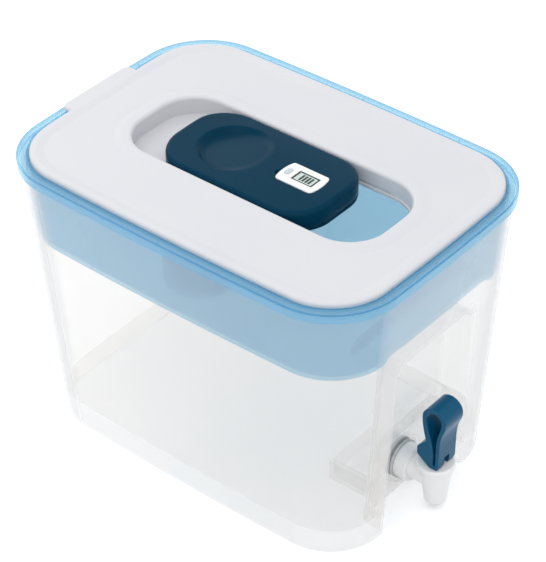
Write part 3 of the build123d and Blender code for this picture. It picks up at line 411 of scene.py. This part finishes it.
# Each step names its result, then its operation and what goes into it: an earlier result or a number.
known = {"x": place.outputs["X"], "y": place.outputs["Y"]}
steps = (
    ("across", "ABSOLUTE", "x"),
    ("along", "ABSOLUTE", "y"),
    ("beside the window", "GREATER_THAN", "across", border_x),
    ("beyond the window", "GREATER_THAN", "along", border_y),
    ("border", "MAXIMUM", "beside the window", "beyond the window"),
    ("past the front", "SUBTRACT", "y", bar_front),
    ("bar", "DIVIDE", "past the front", bar_pitch),
    ("within a bar", "FRACT", "bar"),
    ("dark part", "GREATER_THAN", "within a bar", bar_share),
    ("after the first", "GREATER_THAN", "bar", 0.0),
    ("before the last", "LESS_THAN", "bar", float(bar_count)),
    ("as wide as a bar", "LESS_THAN", "across", bar_half),
    ("bars on", "MULTIPLY", "dark part", "after the first"),
    ("bars in the row", "MULTIPLY", "bars on", "before the last"),
    ("bars", "MULTIPLY", "bars in the row", "as wide as a bar"),
    ("ink", "MAXIMUM", "border", "bars"),
)
for result, operation, *given in steps:
    sockets = {i: known.get(value, value) for i, value in enumerate(given)}
    known[result] = add_node(tree, "ShaderNodeMath", sockets, operation=operation).outputs[0]
crystal = mottled(tree, ("#CBDDD8", "#BFD3CE"), 0.01)
ink = {"Factor": known["ink"], 6: crystal, 7: linear("#15211F")}
ink = add_node(tree, "ShaderNodeMix", ink, data_type="RGBA")
tree.links.new(ink.outputs[2], shader.inputs["Base Color"])
dress(display_glass, "indicator_screen")

# Floor: a wide sheet of satin white laminate that meets the white of the room, keeps the soft shadow and
# mirrors the object faintly.
floor_drop, floor_half, floor_glow = 0.0002, 8.0, 0.3
floor_mesh = bpy.data.meshes.new("floor")
turns = ((-1, -1), (1, -1), (1, 1), (-1, 1))
corners = [(floor_half * x, floor_half * y, -floor_drop) for x, y in turns]
floor_mesh.from_pydata(corners, [], [(0, 1, 2, 3)])
floor = bpy.data.objects.new("floor", floor_mesh)
scene.collection.objects.link(floor)


def seen_directly(tree):
    """1 for camera, mirror and see-through rays, 0 for the soft light between surfaces."""
    path = add_node(tree, "ShaderNodeLightPath")
    kinds = [path.outputs[name] for name in ("Is Camera Ray", "Is Glossy Ray", "Is Transmission Ray")]
    seen = kinds[0]
    for kind in kinds[1:]:
        seen = add_node(tree, "ShaderNodeMath", {0: seen, 1: kind}, operation="MAXIMUM").outputs[0]
    return seen


satin_laminate, tree, shader = finish("satin_white_laminate", Roughness=0.22, IOR=1.45)
tree.links.new(mottled(tree, ("#F3F4F5", "#F1F2F4"), 0.2), shader.inputs["Base Color"])
glow = add_node(tree, "ShaderNodeMath", {0: seen_directly(tree), 1: floor_glow}, operation="MULTIPLY")
shader.inputs["Emission Color"].default_value = (1, 1, 1, 1)
tree.links.new(glow.outputs[0], shader.inputs["Emission Strength"])
floor_mesh.materials.append(satin_laminate)

# Light: a bright white room, with one large soft box over the front left and a second behind the right.
room_light, box_width, lamp_aim = 0.95, 1.2, Vector((0, 0, 0.18))
world = bpy.data.worlds.new("white_room")
scene.world = world
world.use_nodes = True
tree = world.node_tree
tree.nodes.clear()
strength = {"Value": seen_directly(tree), "To Min": room_light, "To Max": 1.0}
strength = add_node(tree, "ShaderNodeMapRange", strength).outputs[0]
room = add_node(tree, "ShaderNodeBackground", {"Color": (1, 1, 1, 1), "Strength": strength})
add_node(tree, "ShaderNodeOutputWorld", {"Surface": room.outputs[0]})
for name, place, watts in (("front_left", (-0.9, -0.5, 1.7), 5), ("back_right", (0.6, 1.5, 1.3), 4.5)):
    box = bpy.data.lights.new(name, "AREA")
    box.size, box.energy = box_width, watts
    lamp = bpy.data.objects.new(name, box)
    scene.collection.objects.link(lamp)
    lamp.location = place
    lamp.rotation_euler = (lamp_aim - Vector(place)).to_track_quat("-Z", "Y").to_euler()
